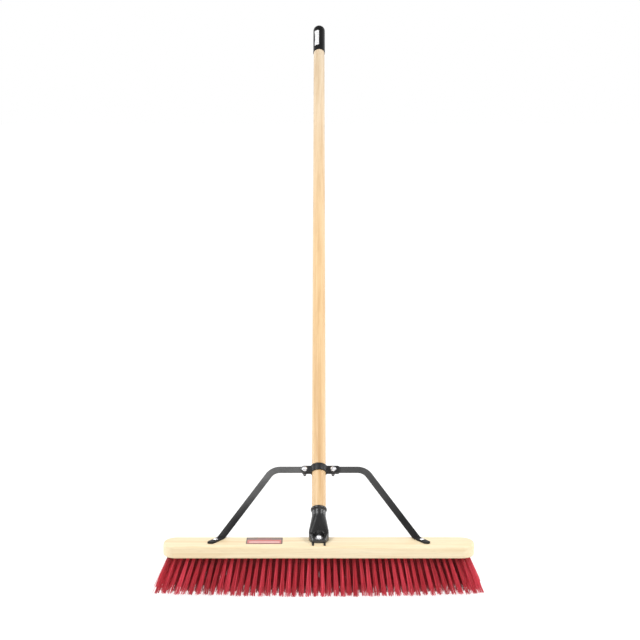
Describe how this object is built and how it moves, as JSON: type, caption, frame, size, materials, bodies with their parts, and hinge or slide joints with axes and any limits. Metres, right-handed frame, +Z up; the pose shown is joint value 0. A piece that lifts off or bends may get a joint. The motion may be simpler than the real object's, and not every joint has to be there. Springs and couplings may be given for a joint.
{
  "type": "push broom",
  "caption": "Push broom: wooden block with red bristle tufts, moulded handle bracket, clamped flat-steel brace and round wooden handle with a black end cap.",
  "frame": {"origin": "on the floor below the middle of the block, at the tip of the middle tuft", "axes": "+X along the block, +Y away from the sweeping edge towards the handle, +Z up"},
  "size_m": [0.6486, 1.1759, 1.1804],
  "materials": {
    "block_wood": "lacquered pale hardwood",
    "handle_wood": "clear lacquered dowel",
    "red_bristle": "crimson polypropylene filament",
    "staple_steel": "drawn steel",
    "bracket_plastic": "satin moulded black",
    "cap_plastic": "soft satin black",
    "black_steel": "black powder coat",
    "zinc": "bright zinc plate",
    "label": "printed film without lettering"
  },
  "bodies": {
    "head": {"block": "block_wood", "label": "label", "bristle_row_1": "red_bristle", "bristle_row_2": "red_bristle", "bristle_row_3": "red_bristle", "bristle_row_4": "red_bristle", "bristle_row_5": "red_bristle", "tuft_staples": "staple_steel", "handle_bracket": "bracket_plastic", "prong_plate": "black_steel", "bracket_washer": "zinc", "bracket_screw": "zinc", "brace_arm_left": "black_steel", "brace_arm_right": "black_steel", "brace_screw_left": "zinc", "brace_screw_right": "zinc", "clamp_front": "black_steel", "clamp_rear": "black_steel", "clamp_bolt_left": "zinc", "clamp_bolt_right": "zinc"},
    "handle": {"handle": "handle_wood", "end_cap": "cap_plastic", "cap_label": "label"},
    "washer_left": {"clamp_washer_left": "zinc"},
    "nut_left": {"clamp_nut_left": "zinc"},
    "washer_right": {"clamp_washer_right": "zinc"},
    "nut_right": {"clamp_nut_right": "zinc"}
  },
  "joints": [
    {"name": "handle_slide", "type": "slide", "parent": "head", "child": "handle", "axis": [0, 0.7193, 0.6947], "range_m": [0, 0.16]},
    {"name": "nut_left_travel", "type": "slide", "parent": "head", "child": "washer_left", "axis": [0, 0.6947, -0.7193], "range_m": [0, 0.00635]},
    {"name": "nut_left_spin", "type": "hinge", "parent": "washer_left", "child": "nut_left", "pos_m": [-0.0295, 0.13843, 0.2059], "axis": [0, 0.6947, -0.7193], "range_deg": [0, 1800]},
    {"name": "nut_right_travel", "type": "slide", "parent": "head", "child": "washer_right", "axis": [0, 0.6947, -0.7193], "range_m": [0, 0.00635]},
    {"name": "nut_right_spin", "type": "hinge", "parent": "washer_right", "child": "nut_right", "pos_m": [0.0295, 0.13843, 0.2059], "axis": [0, 0.6947, -0.7193], "range_deg": [0, 1800]}
  ],
  "couplings": [
    {"joint": "nut_left_spin", "follows": "nut_left_travel", "rad_per_m": 4947.4},
    {"joint": "nut_right_spin", "follows": "nut_right_travel", "rad_per_m": 4947.4}
  ]
}
